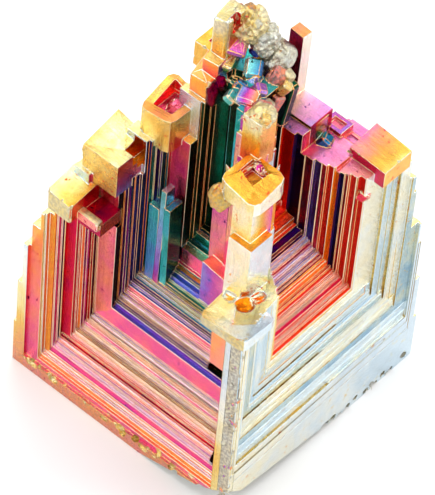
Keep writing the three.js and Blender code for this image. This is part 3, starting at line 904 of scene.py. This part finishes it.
# scales per metre; the rest are shares
filmLook = {
    "streakScale": 45.0, "streakSpread": 3.0, "streakDrift": 0.16,
    "fineScale": 70.0, "fineSpread": 9.0, "fineDrift": 0.12,
    "cloudScale": 330.0, "cloudDrift": 0.2,
    "grainScale": 2600.0, "spotScale": 900.0,
    "stainScale": 1500.0, "stainPatchScale": 160.0, "stainFilm": 0.12, "stainDepth": 1.6,
    # the painted highlight on softened edges: how it fades along the lines, how much it thins the
    # film and clears the deep colour
    "highlightFadeScale": 70.0, "highlightFadeSpread": 14.0,
    "edgeHighlightThinning": 0.85, "edgeHighlightClearing": 0.6,
    "fullness": 0.95,
    "dullMetal": (0.34, 0.30, 0.27, 1.0),
    "polish": 0.13, "spotRoughness": 0.3, "roughRoughness": 0.32,
    "bumpStrength": 0.5, "bumpHeight": 0.00012,
}


def makeFilm(look):
    film = bpy.data.materials.new("bismuthOxideFilm")
    film.use_nodes = True
    nodes = film.node_tree.nodes
    links = film.node_tree.links
    shader = nodes["Principled BSDF"]

    def maths(operation, first, second=0.0, clamp=False):
        return nodeMaths(nodes, links, operation, first, second, clamp)

    def attribute(name):
        node = nodes.new("ShaderNodeAttribute")
        node.attribute_name = name
        return node

    def noiseOf(vector, scale, detail, w=None):
        node = nodes.new("ShaderNodeTexNoise")
        node.noise_dimensions = "4D" if w is not None else "3D"
        links.new(vector, node.inputs["Vector"])
        if w is not None:
            links.new(w, node.inputs["W"])
        node.inputs["Scale"].default_value = scale
        node.inputs["Detail"].default_value = detail
        node.inputs["Roughness"].default_value = 0.6
        return node.outputs["Fac"]

    place = nodes.new("ShaderNodeTexCoord").outputs["Object"]
    parts = nodes.new("ShaderNodeSeparateXYZ")
    links.new(attribute("finish").outputs["Vector"], parts.inputs[0])
    thickness, deep, rough = parts.outputs
    smooth = maths("SUBTRACT", 1.0, maths("MULTIPLY", maths("ABSOLUTE", rough), 1.6), True)
    lines = attribute("lines").outputs["Fac"]
    # painted highlight: the softened edges get thinner film and a paler colour, fading in and out
    # along the growth lines
    highlightFade = noiseOf(place, look["highlightFadeScale"], 2.0, maths("MULTIPLY", lines, look["highlightFadeSpread"]))
    highlightFade = maths("ADD", 0.75, maths("MULTIPLY", maths("SUBTRACT", highlightFade, 0.45), 2.5), True)
    edge = maths("MULTIPLY", attribute("edge").outputs["Fac"], maths("MULTIPLY", smooth, highlightFade))

    # fine growth lines, which run with the terraces and fade slowly along their length
    streakLines = maths("MULTIPLY", lines, look["streakSpread"])
    streaks = noiseOf(place, look["streakScale"], 2.0, streakLines)
    fineLines = maths("MULTIPLY", lines, look["fineSpread"])
    fineStreaks = noiseOf(place, look["fineScale"], 1.0, fineLines)
    clouds = noiseOf(place, look["cloudScale"], 3.0)
    grains = noiseOf(place, look["grainScale"], 4.0)
    spots = noiseOf(place, look["spotScale"], 3.0)

    # small brown stains, mostly in the thin pale film
    stainSpots = maths("GREATER_THAN", noiseOf(place, look["stainScale"], 3.0), 0.66)
    stainPatches = maths("GREATER_THAN", noiseOf(place, look["stainPatchScale"], 1.0), 0.5)
    stains = maths("MULTIPLY", stainSpots, stainPatches)
    drift = maths("MULTIPLY", maths("SUBTRACT", clouds, 0.5), look["cloudDrift"])
    streakDrift = maths("MULTIPLY", maths("SUBTRACT", streaks, 0.5), look["streakDrift"])
    fineDrift = maths("MULTIPLY", maths("SUBTRACT", fineStreaks, 0.5), look["fineDrift"])
    level = maths("ADD", maths("ADD", thickness, drift), maths("ADD", streakDrift, fineDrift))
    level = maths("ADD", level, maths("MULTIPLY", stains, look["stainFilm"]))
    highlightThinning = maths("SUBTRACT", 1.0, maths("MULTIPLY", edge, look["edgeHighlightThinning"]))
    highlightedLevel = maths("MULTIPLY", level, highlightThinning, True)

    ramp = nodes.new("ShaderNodeValToRGB")
    while len(ramp.color_ramp.elements) > 1:
        ramp.color_ramp.elements.remove(ramp.color_ramp.elements[-1])
    ramp.color_ramp.elements[0].position = filmColours[0][0]
    ramp.color_ramp.elements[0].color = linearColour(filmColours[0][1])
    for position, code in filmColours[1:]:
        ramp.color_ramp.elements.new(position).color = linearColour(code)
    links.new(highlightedLevel, ramp.inputs[0])

    # painted shade: deep places are darkened and their colour made fuller, in place of light that has
    # bounced between walls
    deep = maths("ADD", deep, maths("MULTIPLY", stains, look["stainDepth"]))
    highlightClearing = maths("SUBTRACT", 1.0, maths("MULTIPLY", edge, look["edgeHighlightClearing"]))
    fullness = maths("ADD", look["fullness"], maths("MULTIPLY", deep, highlightClearing))
    fuller = nodes.new("ShaderNodeGamma")
    links.new(ramp.outputs["Color"], fuller.inputs["Color"])
    links.new(fullness, fuller.inputs["Gamma"])

    # dull grey metal grains where the surface is rough
    dull = nodes.new("ShaderNodeMix")
    dull.data_type = "RGBA"
    dull.inputs[7].default_value = look["dullMetal"]
    links.new(fuller.outputs["Color"], dull.inputs[6])
    grainShare = maths("ADD", 0.35, maths("MULTIPLY", maths("GREATER_THAN", grains, 0.5), 0.5))
    links.new(maths("MULTIPLY", maths("MULTIPLY", rough, grainShare), 1.0, True), dull.inputs[0])
    links.new(dull.outputs[2], shader.inputs["Base Color"])

    spotted = maths("MULTIPLY", maths("SUBTRACT", spots, 0.45), look["spotRoughness"])
    roughness = maths("ADD", look["polish"], spotted)
    roughness = maths("ADD", roughness, maths("MULTIPLY", rough, look["roughRoughness"]), True)
    links.new(roughness, shader.inputs["Roughness"])
    shader.inputs["Metallic"].default_value = 1.0

    height = maths("ADD", maths("MULTIPLY", streaks, 0.5), maths("MULTIPLY", fineStreaks, 0.35))
    height = maths("ADD", height, maths("MULTIPLY", spots, 0.25))
    height = maths("ADD", height, maths("MULTIPLY", maths("MULTIPLY", rough, grains), 1.4))
    bump = nodes.new("ShaderNodeBump")
    bump.inputs["Strength"].default_value = look["bumpStrength"]
    bump.inputs["Distance"].default_value = look["bumpHeight"]
    links.new(height, bump.inputs["Height"])
    links.new(bump.outputs["Normal"], shader.inputs["Normal"])
    return film


crystal.data.materials.clear()
crystal.data.materials.append(makeFilm(filmLook))
clearChoice()
crystal.select_set(True)
bpy.context.view_layer.objects.active = crystal
bpy.ops.object.shade_flat()
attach(crystal, "root")
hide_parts("bismuth_crystal")
print("film laid on")


# the floor it stands on

def addFloor():
    clearChoice()
    bpy.ops.mesh.primitive_plane_add(size=3.0, location=(0, 0, 0))
    floor = bpy.context.object
    floor.name = "studioFloor"
    paper = bpy.data.materials.new("whitePaper")
    paper.use_nodes = True
    sheet = paper.node_tree.nodes["Principled BSDF"]
    sheet.inputs["Base Color"].default_value = (0.93, 0.93, 0.93, 1.0)
    sheet.inputs["Roughness"].default_value = 0.9
    floor.data.materials.append(paper)


addFloor()
